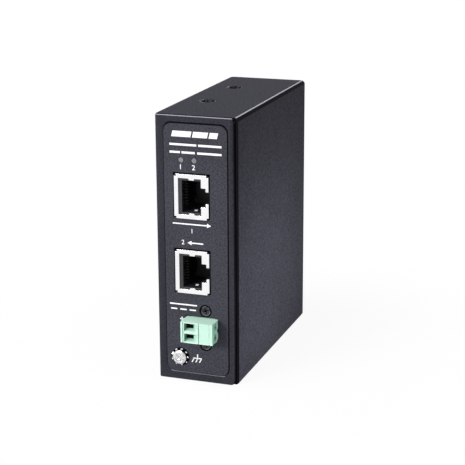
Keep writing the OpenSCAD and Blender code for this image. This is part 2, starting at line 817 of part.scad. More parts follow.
module common_mode_choke() {
    color([0.25, 0.25, 0.25]) in_case() difference() {
        box([board_x + 0.1, 27, 13], [board_x + 11, 39, 25]);
        rod_x(33, 19, 2.5, board_x - 1, board_x + 12);
    }
}

// ---------- rail clip ----------

module din_bracket() {
    half = clip_w / 2;
    y0 = case_d;
    color([0.2, 0.2, 0.21]) in_case() difference() {
        union() {
            box([-half, y0, clip_bottom], [half, y0 + clip_base, clip_top]);
            // fixed hook over the rail's upper edge
            along_x(-half, half) polygon([
                [y0 + clip_base - eps, rail_top + 0.2], [y0 + clip_base + rail_gap, rail_top + 0.2],
                [y0 + clip_base + rail_gap, rail_top - 2], [y0 + clip_base + rail_gap + 0.6, rail_top - 2.6],
                [y0 + clip_depth, rail_top - 2.6], [y0 + clip_depth, rail_top + 3.5],
                [y0 + clip_base, clip_top], [y0 + clip_base - eps, clip_top]
            ]);
        }
        // stepped channel for the latch
        difference() {
            union() {
                box([-8.2, y0 + clip_floor, clip_bottom - 1],
                    [8.2, y0 + clip_floor + clip_slot, rail_bottom + 3]);
                box([-6.2, y0 + clip_floor, clip_bottom - 1], [6.2, y0 + clip_base + 1, rail_bottom + 3]);
            }
            box([-1.1, y0, peg_z[0]], [1.1, y0 + clip_base - 0.2, peg_z[1]]);
        }
        for (side = [-1, 1], z = bracket_screw_z)
            translate([side * bracket_screw_x, y0 + clip_base, z]) rotate([-90, 0, 0])
                flat_screw_hole(m3_head_r, 1.6, 5);
    }
}

module din_latch() {
    y0 = case_d + clip_floor + 0.1;
    jaw_y = case_d + clip_base + 0.15;
    color([0.15, 0.15, 0.16]) in_case() difference() {
        union() {
            box([-8, y0, rail_bottom - 15.5], [8, y0 + clip_slot - 0.2, rail_bottom - 1]);
            box([-6, y0, rail_bottom - 25.5], [6, jaw_y + eps, rail_bottom - 0.6]);
            // sprung jaw under the rail's lower edge
            along_x(-9.5, 9.5) polygon([
                [jaw_y, rail_bottom - 0.2], [jaw_y, rail_bottom - 5.5],
                [case_d + clip_depth - 1.4, rail_bottom - 5.5],
                [case_d + clip_depth, rail_bottom - 3.5], [case_d + clip_depth, rail_bottom + 0.8],
                [case_d + clip_depth - 1.2, rail_bottom + 2.3],
                [case_d + clip_base + rail_gap, rail_bottom + 2.3],
                [case_d + clip_base + rail_gap, rail_bottom - 0.2]
            ]);
        }
        box([-1.3, case_d, latch_window[0]], [1.3, case_d + clip_depth + 1, latch_window[1]]);
        // slot for a screwdriver's tip
        box([-3, case_d, rail_bottom - 23.5], [3, case_d + clip_depth, rail_bottom - 21.8]);
    }
}

// Round wire swept along a helix about +Z
module coil(mean_r, wire_r, length, turns) {
    sides = 8;
    steps = 16;
    rings = turns * steps;
    points = [
        for (i = [0 : rings], k = [0 : sides - 1])
            let (a = 360 * i / steps, b = 360 * k / sides, r = mean_r + wire_r * cos(b))
            [r * cos(a), r * sin(a), wire_r + (length - 2 * wire_r) * i / rings + wire_r * sin(b)]
    ];
    faces = concat(
        [[for (k = [0 : sides - 1]) k]],
        [for (i = [0 : rings - 1], k = [0 : sides - 1])
            let (a = i * sides, b = a + sides, n = (k + 1) % sides)
            [a + k, b + k, b + n, a + n]],
        [[for (k = [sides - 1 : -1 : 0]) rings * sides + k]]
    );
    polyhedron(points = points, faces = faces, convexity = 8);
}

module latch_spring() {
    color([0.7, 0.7, 0.72]) in_case()
        translate([0, case_d + clip_floor + 1.2, peg_z[1] + 0.05])
            coil(0.8, 0.2, latch_window[1] - peg_z[1] - 0.1, 7);
}

module bracket_screws() {
    color("silver") in_case() for (side = [-1, 1], z = bracket_screw_z)
        translate([side * bracket_screw_x, case_d + clip_base, z]) rotate([-90, 0, 0])
            flat_screw(m3_head_r, m3_shank_r, 6);
}

module bracket_nuts() {
    color("silver") in_case() for (side = [-1, 1], z = bracket_screw_z)
        translate([side * bracket_screw_x, case_d, z]) rotate([-90, 0, 0]) press_nut(nut_bore_r, 1.6);
}

chassis();
cover();
front_label();
cover_screws();
cover_nuts();
upper_jack_shield();
upper_jack_body();
upper_jack_contacts();
lower_jack_shield();
lower_jack_body();
lower_jack_contacts();
light_pipe();
status_leds();
terminal_header();
header_pins();
header_screws();
header_nuts();
plug_housing();
plug_contacts();
clamp_screw_upper();
clamp_screw_lower();
clamp_cage_upper();
clamp_cage_lower();
ground_screw();
ground_washer();
ground_nut();
circuit_board();
standoffs();
board_screws();
insulating_sheet();
ethernet_magnetics();
transformer_core();
transformer_windings();
power_inductor();
capacitors();
control_chips();
power_transistors();
heat_spreader();
thermal_pad();
input_fuse();
surge_suppressor();
common_mode_choke();
din_bracket();
din_latch();
latch_spring();
bracket_screws();
bracket_nuts();
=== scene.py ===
# %% [markdown]
# # A PoE injector for a DIN rail
#
# The object is a slim industrial power injector: a folded steel case in a near-black powder coat, a
# dark printed front with two shielded network jacks, a pale green screw terminal and a bright ground
# screw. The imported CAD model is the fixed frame. This script gives every part its finish, softens
# the edges that the eye can see, adds the print and a few small pieces, and sets up the camera and
# the light.

# %% load the frame
import json
import math

import bmesh
import bpy
from mathutils import Matrix, Quaternion, Vector


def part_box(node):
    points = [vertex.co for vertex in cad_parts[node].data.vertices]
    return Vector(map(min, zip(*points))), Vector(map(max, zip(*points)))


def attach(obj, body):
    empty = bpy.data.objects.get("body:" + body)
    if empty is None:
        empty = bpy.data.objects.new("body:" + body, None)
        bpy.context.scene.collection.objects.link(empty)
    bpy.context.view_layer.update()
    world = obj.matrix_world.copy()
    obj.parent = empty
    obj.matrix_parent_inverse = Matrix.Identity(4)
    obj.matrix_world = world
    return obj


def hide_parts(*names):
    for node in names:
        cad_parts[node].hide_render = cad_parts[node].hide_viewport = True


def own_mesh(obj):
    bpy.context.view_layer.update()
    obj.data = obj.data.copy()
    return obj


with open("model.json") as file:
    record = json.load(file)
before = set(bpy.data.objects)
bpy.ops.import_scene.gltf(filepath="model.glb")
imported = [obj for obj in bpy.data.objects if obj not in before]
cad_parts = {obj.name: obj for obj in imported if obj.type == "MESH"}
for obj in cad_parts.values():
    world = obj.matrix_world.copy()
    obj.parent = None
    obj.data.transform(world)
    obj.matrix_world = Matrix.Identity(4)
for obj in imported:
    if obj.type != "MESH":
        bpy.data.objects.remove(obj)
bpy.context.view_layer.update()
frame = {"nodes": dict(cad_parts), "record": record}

MM = 0.001

# %% [markdown]
# ## Where things are
#
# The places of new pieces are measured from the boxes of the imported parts. The front faces of the
# case and of its label are the two planes that most of them refer to.

# %% reference planes and points
case_low, case_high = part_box("chassis")
case_high = Vector((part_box("cover")[1].x, case_high.y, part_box("cover")[1].z))
case_low = Vector((case_low.x, case_low.y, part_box("cover")[0].z))
case_middle = (case_low + case_high) / 2
front_y = case_low.y
label_low, label_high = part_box("front_label")
label_y = label_low.y
print("case size in mm:", [round(v / MM, 2) for v in case_high - case_low])


def centre(node):
    """Middle of a node's box."""
    low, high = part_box(node)
    return (low + high) / 2


# %% [markdown]
# ## Camera
#
# The view is a product shot with a long lens from the right of the front and a little above. The
# camera is placed by two angles, a small roll, a distance and the point that it aims at, so that each
# number has a plain meaning. The long lens keeps the upright edges almost parallel.

# %% camera
VIEW_AZIMUTH = math.radians(19.444)
VIEW_ELEVATION = math.radians(15.919)
VIEW_ROLL = math.radians(-0.317)
VIEW_DISTANCE = 516.76 * MM
LENS_MM = 107.2
SENSOR_MM = 36.0
aim = case_middle + Vector((-0.47, -1.18, -3.36)) * MM

towards_camera = Vector((
    math.sin(VIEW_AZIMUTH) * math.cos(VIEW_ELEVATION),
    -math.cos(VIEW_AZIMUTH) * math.cos(VIEW_ELEVATION),
    math.sin(VIEW_ELEVATION),
))
camera_data = bpy.data.cameras.new("camera")
camera_data.lens = LENS_MM
camera_data.sensor_width = SENSOR_MM
camera_data.clip_start = 0.01
camera = bpy.data.objects.new("camera", camera_data)
camera.rotation_mode = "QUATERNION"
camera.location = aim + towards_camera * VIEW_DISTANCE
camera.rotation_quaternion = (-towards_camera).to_track_quat("-Z", "Y") @ Quaternion((0, 0, 1), VIEW_ROLL)
bpy.context.scene.collection.objects.link(camera)
bpy.context.scene.camera = camera
print("camera at", [round(v, 4) for v in camera.location])

# %% [markdown]
# ## Small helpers for materials
#
# A material is a short recipe: a shader, a pattern in object space and a bump. These helpers keep each
# recipe to a few lines. Patterns use Object coordinates, because every part's object sits at the
# origin, so one millimetre in the pattern is one millimetre on the part.

# %% material helpers
def new_material(name):
    """A node material and its Principled shader."""
    material = bpy.data.materials.new(name)
    material.use_nodes = True
    return material, material.node_tree, material.node_tree.nodes["Principled BSDF"]


def add_node(tree, kind, **settings):
    """A new node with its settings."""
    node = tree.nodes.new(kind)
    for key, value in settings.items():
        setattr(node, key, value)
    return node


def set_sockets(node, **values):
    """Plain values on a node's own sockets; an underscore stands for a space."""
    for key, value in values.items():
        node.inputs[key.replace("_", " ")].default_value = value


def tint(colour, factor):
    """The colour made lighter or darker."""
    return tuple(min(1.0, c * factor) for c in colour[:3]) + (1.0,)


def group_with(name, inputs, outputs):
    """An empty shader node group with named sockets, and its input and output nodes."""
    group = bpy.data.node_groups.new(name, "ShaderNodeTree")
    for socket_name, kind, value in inputs:
        socket = group.interface.new_socket(socket_name, in_out="INPUT", socket_type=kind)
        socket.default_value = value
    for socket_name, kind in outputs:
        group.interface.new_socket(socket_name, in_out="OUTPUT", socket_type=kind)
    return group, group.nodes.new("NodeGroupInput"), group.nodes.new("NodeGroupOutput")


print("material helpers: new_material, add_node, set_sockets, tint, group_with")

# %% [markdown]
# ## Shared effect: grain
#
# Powder coat, moulded plastic and printed film all have a fine skin that breaks up the light. One
# group makes it: a fine noise gives the tone and the height for a bump, and a coarse cloud shifts the
# tone a little. Each material sets its own grain size.

# %% grain group
def make_grain_group():
    """Fine skin: a tone that wanders between dark and light, and a height."""
    group, g_in, g_out = group_with(
        "fine_grain",
        [("Grain per metre", "NodeSocketFloat", 3000.0), ("Cloud per metre", "NodeSocketFloat", 60.0),
         ("Dark", "NodeSocketColor", (0.02, 0.02, 0.02, 1)),
         ("Light", "NodeSocketColor", (0.04, 0.04, 0.04, 1))],
        [("Colour", "NodeSocketColor"), ("Height", "NodeSocketFloat"), ("Cloud", "NodeSocketFloat")],
    )
    place = add_node(group, "ShaderNodeTexCoord")
    fine = add_node(group, "ShaderNodeTexNoise")
    set_sockets(fine, Detail=2.0, Roughness=0.6)
    cloud = add_node(group, "ShaderNodeTexNoise")
    set_sockets(cloud, Detail=3.0, Roughness=0.55)
    blend = add_node(group, "ShaderNodeMath", operation="MULTIPLY_ADD")
    blend.inputs[1].default_value = 0.8
    shift = add_node(group, "ShaderNodeMath", operation="MULTIPLY")
    shift.inputs[1].default_value = 0.2
    spread = add_node(group, "ShaderNodeMapRange")
    set_sockets(spread, From_Min=0.36, From_Max=0.64)
    mix = add_node(group, "ShaderNodeMix", data_type="RGBA")
    group.links.new(place.outputs["Object"], fine.inputs["Vector"])
    group.links.new(place.outputs["Object"], cloud.inputs["Vector"])
    group.links.new(g_in.outputs["Grain per metre"], fine.inputs["Scale"])
    group.links.new(g_in.outputs["Cloud per metre"], cloud.inputs["Scale"])
    group.links.new(cloud.outputs["Fac"], shift.inputs[0])
    group.links.new(fine.outputs["Fac"], blend.inputs[0])
    group.links.new(shift.outputs[0], blend.inputs[2])
    group.links.new(blend.outputs[0], spread.inputs["Value"])
    group.links.new(spread.outputs["Result"], mix.inputs["Factor"])
    group.links.new(g_in.outputs["Dark"], mix.inputs["A"])
    group.links.new(g_in.outputs["Light"], mix.inputs["B"])
    group.links.new(mix.outputs["Result"], g_out.inputs["Colour"])
    group.links.new(fine.outputs["Fac"], g_out.inputs["Height"])
    group.links.new(cloud.outputs["Fac"], g_out.inputs["Cloud"])
    return group


GRAIN = make_grain_group()
print("grain group:", len(GRAIN.nodes), "nodes")

# %% [markdown]
# ## Shared effect: rubbed edges and painted edge highlights
#
# Handling polishes the outer edges of painted and moulded parts, and the same lighter tone also stands
# in for the light that a rounded edge catches, so it is partly wear and partly painted highlight. The
# Bevel node gives the normal that a rounded edge would have, and where that differs from the true
# normal there is an edge. The group puts out that mask, broken up into patches by noise so that it
# never looks like a drawn line.

# %% edge group
def make_wear_and_highlight_group():
    """Mask that is white on edges, in patches, for wear and painted highlight."""
    group, g_in, g_out = group_with(
        "rubbed_edge",
        [("Strength", "NodeSocketFloat", 1.0), ("Patches per metre", "NodeSocketFloat", 900.0)],
        [("Mask", "NodeSocketFloat")],
    )
    bevel = add_node(group, "ShaderNodeBevel", samples=4)
    set_sockets(bevel, Radius=0.35 * MM)
    geometry = add_node(group, "ShaderNodeNewGeometry")
    dot = add_node(group, "ShaderNodeVectorMath", operation="DOT_PRODUCT")
    edge = add_node(group, "ShaderNodeMath", operation="SUBTRACT", use_clamp=True)
    edge.inputs[0].default_value = 1.0
    place = add_node(group, "ShaderNodeTexCoord")
    noise = add_node(group, "ShaderNodeTexNoise")
    patches = add_node(group, "ShaderNodeMapRange")
    set_sockets(patches, From_Min=0.4, From_Max=0.6)
    scaled = add_node(group, "ShaderNodeMath", operation="MULTIPLY")
    masked = add_node(group, "ShaderNodeMath", operation="MULTIPLY", use_clamp=True)
    group.links.new(bevel.outputs["Normal"], dot.inputs[0])
    group.links.new(geometry.outputs["Normal"], dot.inputs[1])
    group.links.new(dot.outputs["Value"], edge.inputs[1])
    group.links.new(place.outputs["Object"], noise.inputs["Vector"])
    group.links.new(g_in.outputs["Patches per metre"], noise.inputs["Scale"])
    group.links.new(noise.outputs["Fac"], patches.inputs["Value"])
    group.links.new(edge.outputs[0], scaled.inputs[0])
    group.links.new(g_in.outputs["Strength"], scaled.inputs[1])
    group.links.new(scaled.outputs[0], masked.inputs[0])
    group.links.new(patches.outputs["Result"], masked.inputs[1])
    group.links.new(masked.outputs[0], g_out.inputs["Mask"])
    return group


EDGE_WEAR_AND_HIGHLIGHT = make_wear_and_highlight_group()
print("rubbed edge group:", len(EDGE_WEAR_AND_HIGHLIGHT.nodes), "nodes")

# %% [markdown]
# ## Shared effect: painted light along a bend
#
# A bend is given tones of its own, which are painted light: a pale line that is a painted highlight,
# and a dark line beside it that is painted shade. The same mask paints shade and highlight on other
# faces by the way they face. The group marks the part of a surface that faces a given way, within an
# angle, and each material sets the way and the two angles where the mark is full and where it ends.

# %% strip group
def make_painted_light_strip_group():
    """Mask that is white where the surface faces one way, and fades out as it turns from it; it carries
    painted highlights and painted shade.
    """
    group, g_in, g_out = group_with(
        "turned_strip",
        [("Way", "NodeSocketVector", (0.0, 0.0, 1.0)), ("Full from", "NodeSocketFloat", 0.97),
         ("None below", "NodeSocketFloat", 0.9)],
        [("Mask", "NodeSocketFloat")],
    )
    geometry = add_node(group, "ShaderNodeNewGeometry")
    dot = add_node(group, "ShaderNodeVectorMath", operation="DOT_PRODUCT")
    fade = add_node(group, "ShaderNodeMapRange", interpolation_type="SMOOTHSTEP")
    group.links.new(geometry.outputs["Normal"], dot.inputs[0])
    group.links.new(g_in.outputs["Way"], dot.inputs[1])
    group.links.new(dot.outputs["Value"], fade.inputs["Value"])
    group.links.new(g_in.outputs["None below"], fade.inputs["From Min"])
    group.links.new(g_in.outputs["Full from"], fade.inputs["From Max"])
    group.links.new(fade.outputs["Result"], g_out.inputs["Mask"])
    return group


PAINTED_LIGHT_STRIP = make_painted_light_strip_group()
print("strip group:", len(PAINTED_LIGHT_STRIP.nodes), "nodes")

# %% [markdown]
# ## Coated and moulded surfaces
#
# Paint, plastic, film and rubber differ in colour, grain size, gloss and in how much their edges are
# lightened, as wear and painted highlight, but they are built the same way. Some also carry painted
# highlights and painted shade by the way they face, and painted shade in a recess. One function makes
# them all, so that the recipe of each surface is one short call.

# %% coated surfaces
# Colours of painted shade: the first for deep shade, the second for half shade.
PAINTED_DEEP_SHADE = (0.003, 0.003, 0.004)
PAINTED_SHADE = (0.007, 0.007, 0.009)
COAT_ROUGH_SPREAD = 0.05


def blended(tree, mask, skin, colour):
    """Socket of a skin's colour with another colour laid over it by a mask."""
    mix = add_node(tree, "ShaderNodeMix", data_type="RGBA")
    mix.inputs["B"].default_value = (*colour[:3], 1)
    tree.links.new(mask, mix.inputs["Factor"])
    tree.links.new(skin, mix.inputs["A"])
    return mix.outputs["Result"]


def coated(name, colour, rough, grain_mm=0.3, bump_mm=0.01, contrast=0.05, edge=0.0, edge_wear_and_highlight_tone=None,
           spec=0.5, painted_light_strips=(), recess_shade=None):
    """Grained dielectric surface whose edges are lighter, partly as wear and partly as painted highlight.
    Each strip is painted light, with the way that it faces, the angles in degrees where it is full and
    where it ends, and its colour, the colour of the painted highlight or shade. The last argument gives
    the two depths in Y between which the skin fades to black, as painted shade in a recess."""
    material, tree, shader = new_material(name)
    set_sockets(shader, Roughness=rough, Specular_IOR_Level=spec)
    grain = add_node(tree, "ShaderNodeGroup", node_tree=GRAIN)
    grain.inputs["Grain per metre"].default_value = 1 / (grain_mm * MM)
    grain.inputs["Dark"].default_value = tint(colour, 1 - contrast)
    grain.inputs["Light"].default_value = tint(colour, 1 + contrast)
    bump = add_node(tree, "ShaderNodeBump")
    set_sockets(bump, Strength=1.0, Distance=bump_mm * MM)
    tree.links.new(grain.outputs["Height"], bump.inputs["Height"])
    tree.links.new(bump.outputs["Normal"], shader.inputs["Normal"])
    rough_map = add_node(tree, "ShaderNodeMapRange")
    set_sockets(rough_map, To_Min=rough - COAT_ROUGH_SPREAD, To_Max=rough + COAT_ROUGH_SPREAD)
    tree.links.new(grain.outputs["Cloud"], rough_map.inputs["Value"])
    tree.links.new(rough_map.outputs["Result"], shader.inputs["Roughness"])
    skin = grain.outputs["Colour"]
    # Lighter edges: partly wear, partly painted highlight.
    if edge:
        rubbed = add_node(tree, "ShaderNodeGroup", node_tree=EDGE_WEAR_AND_HIGHLIGHT)
        rubbed.inputs["Strength"].default_value = edge
        wear_and_highlight_tone = edge_wear_and_highlight_tone or tint([c + 0.03 for c in colour], 2.2)
        skin = blended(tree, rubbed.outputs["Mask"], skin, wear_and_highlight_tone)
    # Painted highlights and painted shade by the way the surface faces.
    for way, full, none, painted_light_colour in painted_light_strips:
        strip = add_node(tree, "ShaderNodeGroup", node_tree=PAINTED_LIGHT_STRIP)
        strip.inputs["Way"].default_value = Vector(way).normalized()
        strip.inputs["Full from"].default_value = math.cos(math.radians(full))
        strip.inputs["None below"].default_value = math.cos(math.radians(none))
        skin = blended(tree, strip.outputs["Mask"], skin, painted_light_colour)
    # Painted shade: the skin turns black deep in a recess.
    if recess_shade:
        place = add_node(tree, "ShaderNodeTexCoord")
        axes = add_node(tree, "ShaderNodeSeparateXYZ")
        depth = add_node(tree, "ShaderNodeMapRange")
        set_sockets(depth, From_Min=recess_shade[0], From_Max=recess_shade[1])
        tree.links.new(place.outputs["Object"], axes.inputs[0])
        tree.links.new(axes.outputs["Y"], depth.inputs["Value"])
        skin = blended(tree, depth.outputs["Result"], skin, PAINTED_DEEP_SHADE)
    tree.links.new(skin, shader.inputs["Base Color"])
    return material


print("coated surface: one function for paint, film, plastic and rubber")

# %% [markdown]
# ## Coats, films and plastics
#
# The case has a coarse powder coat, nearly black with a touch of blue. On its bend along the top right
# edge a pale line is painted as a highlight and a dark one beside it as shade, and the cover's cut front
# edge is painted in shade. The front panel and the label are a little smoother; the panel has a painted
# highlight on its upper rim and painted shade on its right bend. The plug's right side is painted in
# shade and its front right corner has a painted highlight. The screws of the header show bright edges,
# partly wear and partly painted highlight, round a recess that fades to black as painted shade. Colours
# are plain numbers here, which is easier to tune than a picture, and the sizes of grain and bump are in
# millimetres.

# %% coats, films and plastics
FRONT, RIGHT = (0, -1, 0), (1, 0, 0)
# Case coat: a painted highlight on the top right bend, painted shade beside it, and painted shadow on the
# cover's cut front edge, where the front panel would shade it.
CASE_PAINT = coated("case_paint", (0.034, 0.034, 0.0455), 0.5, 0.8, bump_mm=0.03, contrast=0.4, edge=0.6,
                    spec=0.01, painted_light_strips=[((0.29, 0, 0.96), 7, 15.5, (0.56, 0.56, 0.64)),
                                       ((0.82, 0, 0.57), 20, 34, PAINTED_DEEP_SHADE), (FRONT, 20, 45, PAINTED_SHADE)])
# Panel coat: a painted highlight along the upper rim, and painted shade on the right bend.
PANEL_PAINT = coated("panel_paint", (0.035, 0.035, 0.045), 0.5, 0.6, bump_mm=0.02, contrast=0.25, edge=0.4,
                     spec=0.01, painted_light_strips=[((0, -0.4, 0.92), 38, 55, (0.42, 0.42, 0.46)),
                                        (RIGHT, 28, 44, PAINTED_SHADE)])
LABEL_FILM = coated("label_film", (0.052, 0.052, 0.066), 0.5, 0.6, bump_mm=0.02, contrast=0.3, spec=0.01)
# Black sheet that is painted shade in the gaps round the label.
SHADE_SHEET_FILM = coated("painted_shade_sheet", PAINTED_DEEP_SHADE, 0.6, spec=0.02)
BLACK_PLASTIC = coated("black_plastic", (0.016, 0.016, 0.021), 0.42, grain_mm=0.2, bump_mm=0.008, edge=0.8)
CLIP_PLASTIC = coated("clip_plastic", (0.016, 0.016, 0.018), 0.5, grain_mm=0.5, bump_mm=0.02, edge=1.2)
# Plug: painted shade on the right side, a painted highlight on the front right corner, and strong light
# edges that are mostly painted highlight.
GREEN_PLASTIC = coated("green_plastic", (0.54, 0.80, 0.67), 0.33, grain_mm=0.6, bump_mm=0.006,
                       contrast=0.03, edge=4.0, painted_light_strips=[(RIGHT, 20, 35, (0.173, 0.35, 0.27)),
                                                        ((0.7, -0.7, 0), 15, 35, (0.85, 1.0, 0.94))])
# Header screws: light edges that are partly wear and partly painted highlight, and painted shade that turns
# the recess black.
BLACK_SCREW = coated("black_screw", (0.050, 0.050, 0.058), 0.35, grain_mm=0.15, bump_mm=0.006, edge=5.0,
                     edge_wear_and_highlight_tone=(0.6, 0.6, 0.63), spec=0.02, recess_shade=(front_y + 0.36 * MM, front_y + 0.46 * MM))
# Cover screws: darker than the header screws as painted shade in their countersinks, with bright specks on
# their edges that are painted glints.
SUNK_SCREW = coated("sunk_screw", (0.012, 0.012, 0.014), 0.5, grain_mm=0.5, bump_mm=0.006, contrast=0.8,
                    edge=12.0, edge_wear_and_highlight_tone=(0.8, 0.8, 0.85), spec=0.0)
BOARD = coated("board", (0.01, 0.09, 0.035), 0.35, grain_mm=1.2, bump_mm=0.01)
FILM = coated("film", (0.62, 0.42, 0.12), 0.3, grain_mm=2.0, bump_mm=0.01)
CHIP_PLASTIC = coated("chip_plastic", (0.014, 0.014, 0.015), 0.55, grain_mm=0.15, bump_mm=0.01)
FERRITE = coated("ferrite", (0.05, 0.05, 0.052), 0.6, grain_mm=0.4, bump_mm=0.02)
WINDING_TAPE = coated("winding_tape", (0.72, 0.50, 0.06), 0.35, grain_mm=1.5, bump_mm=0.01)
CAN_SLEEVE = coated("can_sleeve", (0.012, 0.014, 0.04), 0.25, grain_mm=2.0, bump_mm=0.004)
SOFT_PAD = coated("soft_pad", (0.22, 0.28, 0.36), 0.8, grain_mm=0.5, bump_mm=0.02)
DULL_TIN = coated("dull_tin", (0.80, 0.80, 0.84), 0.5, grain_mm=0.3, bump_mm=0.004)
LAMP = coated("lamp", (0.75, 0.74, 0.66), 0.4, grain_mm=0.3, bump_mm=0.004)
print("materials so far:", len(bpy.data.materials))

# %% [markdown]
# ## Metals
#
# Plated sheet, zinc-plated screws, brass and gold are conductors: the colour is in the reflection. A
# grain moves the tone and the roughness, so that a highlight breaks up as it does on real plating.
# The gold contacts lie deep in the jacks and the clamps inside the plug, and both are painted dark,
# as the shade that they lie in. The washer is painted black round the head of its screw, as the head's
# shade, and its teeth stay bright.

# %% metals
METAL_ROUGH_SPREAD = 0.08


def metal(name, colour, rough, grain_mm=0.2, bump_mm=0.003, contrast=0.08, shade_ring=None):
    """Plated or turned metal; contrast is the strength of its mottling. The ring argument paints shade:
    round its centre the metal is black, and between the two distances from it in mm it brightens again."""
    material, tree, shader = new_material(name)
    set_sockets(shader, Metallic=1.0)
    grain = add_node(tree, "ShaderNodeGroup", node_tree=GRAIN)
    grain.inputs["Grain per metre"].default_value = 1 / (grain_mm * MM)
    grain.inputs["Cloud per metre"].default_value = 250.0
    grain.inputs["Dark"].default_value = tint(colour, 1 - contrast)
    grain.inputs["Light"].default_value = tint(colour, 1 + contrast / 2)
    bump = add_node(tree, "ShaderNodeBump")
    set_sockets(bump, Strength=1.0, Distance=bump_mm * MM)
    rough_map = add_node(tree, "ShaderNodeMapRange")
    set_sockets(rough_map, To_Min=rough - METAL_ROUGH_SPREAD, To_Max=rough + METAL_ROUGH_SPREAD)
    skin = grain.outputs["Colour"]
    # Painted shade round a centre, such as under the head of a screw.
    if shade_ring:
        middle, shade_to, bright_from = shade_ring
        place = add_node(tree, "ShaderNodeTexCoord")
        away = add_node(tree, "ShaderNodeVectorMath", operation="DISTANCE")
        away.inputs[1].default_value = middle
        near = add_node(tree, "ShaderNodeMapRange")
        set_sockets(near, From_Min=shade_to * MM, From_Max=bright_from * MM, To_Min=1.0, To_Max=0.0)
        tree.links.new(place.outputs["Object"], away.inputs[0])
        tree.links.new(away.outputs["Value"], near.inputs["Value"])
        skin = blended(tree, near.outputs["Result"], skin, PAINTED_DEEP_SHADE)
    tree.links.new(skin, shader.inputs["Base Color"])
    tree.links.new(grain.outputs["Height"], bump.inputs["Height"])
    tree.links.new(bump.outputs["Normal"], shader.inputs["Normal"])
    tree.links.new(grain.outputs["Cloud"], rough_map.inputs["Value"])
    tree.links.new(rough_map.outputs["Result"], shader.inputs["Roughness"])
    return material


PLATED_SHIELD = metal("plated_shield", (0.93, 0.93, 0.94), 0.22)
ZINC = metal("zinc_steel", (0.78, 0.78, 0.79), 0.26, grain_mm=0.45, bump_mm=0.006, contrast=0.45)
TIN = metal("tinned_metal", (0.80, 0.79, 0.76), 0.32)
BRASS = metal("brass_part", (0.80, 0.60, 0.28), 0.3)
ALUMINIUM = metal("spreader", (0.78, 0.79, 0.80), 0.35)
SPRING = metal("spring_wire", (0.62, 0.62, 0.64), 0.28)
# The clamps inside the plug are painted dark as the shade that they lie in.
PAINTED_SHADE_STEEL = metal("steel_in_painted_shade", (0.10, 0.10, 0.11), 0.4)
# The gold contacts are painted dark as the shade deep in the jacks.
PAINTED_SHADE_GOLD = metal("gold_in_painted_shade", (0.022, 0.018, 0.013), 0.5)
# The washer is painted black near the screw head, as the head's shade; its teeth stay bright.
TOOTHED = metal("toothed_steel", (0.85, 0.85, 0.87), 0.22, shade_ring=(centre("ground_washer"), 2.72, 2.82))
print("materials so far:", len(bpy.data.materials))

# %% [markdown]
# ## Light pipes
#
# The two lights are off, so the light pipes read as small milky grey dots. A rough transmission gives
# the depth of a clear moulding, and a grain in the colour gives its slight haze.

# %% light pipe
def make_light_pipe_material():
    """Milky clear plastic."""
    material, tree, shader = new_material("light_pipe")
    set_sockets(shader, Roughness=0.35, IOR=1.5, Transmission_Weight=0.35)
    grain = add_node(tree, "ShaderNodeGroup", node_tree=GRAIN)
    grain.inputs["Grain per metre"].default_value = 1500.0
    grain.inputs["Dark"].default_value = (0.22, 0.22, 0.24, 1)
    grain.inputs["Light"].default_value = (0.30, 0.30, 0.33, 1)
    tree.links.new(grain.outputs["Colour"], shader.inputs["Base Color"])
    return material


LIGHT_PIPE = make_light_pipe_material()
print("light pipe:", len(LIGHT_PIPE.node_tree.nodes), "nodes")

# %% [markdown]
# ## Finishes on the CAD parts
#
# Each part of the record names a material slot. The first table gives each slot its finish; in it the
# gold contacts are painted dark as shade. The second is for parts that differ from their slot: the
# chassis has the coat of the front panel, the cover's screws are painted blacker than the small ones as
# shade, the clamps are painted dark as shade, and the washer is painted dark as the shade between the
# head of the screw and its bright teeth.

# %% assign finishes
FINISH = {
    "case_paint": CASE_PAINT, "label_film": LABEL_FILM, "plated_shield": PLATED_SHIELD,
    "black_plastic": BLACK_PLASTIC, "gold_contact": PAINTED_SHADE_GOLD, "light_pipe": LIGHT_PIPE, "lamp": LAMP,
    "green_plastic": GREEN_PLASTIC, "tinned_metal": TIN, "black_screw": BLACK_SCREW, "zinc_steel": ZINC,
    "brass_part": BRASS, "board": BOARD, "film": FILM, "chip_plastic": CHIP_PLASTIC,
    "ferrite": FERRITE, "winding_tape": WINDING_TAPE, "can_sleeve": CAN_SLEEVE,
    "spreader": ALUMINIUM, "soft_pad": SOFT_PAD, "clip_plastic": CLIP_PLASTIC, "spring_wire": SPRING,
}
SLOT_OF = {part["node"]: part["material_slot"] for part in frame["record"]["subparts"]}
BODY_OF = {node: body for body, nodes in frame["record"]["behaviour"]["bodies"].items() for node in nodes}
OWN_FINISH = {"chassis": PANEL_PAINT, "cover_screws": SUNK_SCREW, "ground_washer": TOOTHED}
for part in ("cage", "screw"):
    for pole in ("upper", "lower"):
        OWN_FINISH[f"clamp_{part}_{pole}"] = PAINTED_SHADE_STEEL
for node_name, node_object in frame["nodes"].items():
    for material_slot in node_object.material_slots:
        material_slot.material = OWN_FINISH.get(node_name, FINISH[SLOT_OF[node_name]])
print("finishes:", len(FINISH), "and", len(OWN_FINISH), "of their own")

# %% [markdown]
# ## Softened edges
#
# No folded, moulded or punched edge is razor sharp. Each part that the eye reaches is copied, its
# loose triangles are merged and joined into flat faces, and its sharp edges get a small true bevel.
# The copy then stands for the CAD part.

# %% softened copies
SHARP = math.radians(28)
SMOOTH_BELOW = math.radians(38)
PANEL_DEPTH = 1.45 * MM


def new_piece(name, mesh, body):
    """An object for a mesh, which rides on a body."""
    piece = bpy.data.objects.new(name, mesh)
    bpy.context.scene.collection.objects.link(piece)
    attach(piece, body)
    return piece


def shade_smooth(mesh):
    """Smooth shading on every face."""
    for polygon in mesh.polygons:
        polygon.use_smooth = True


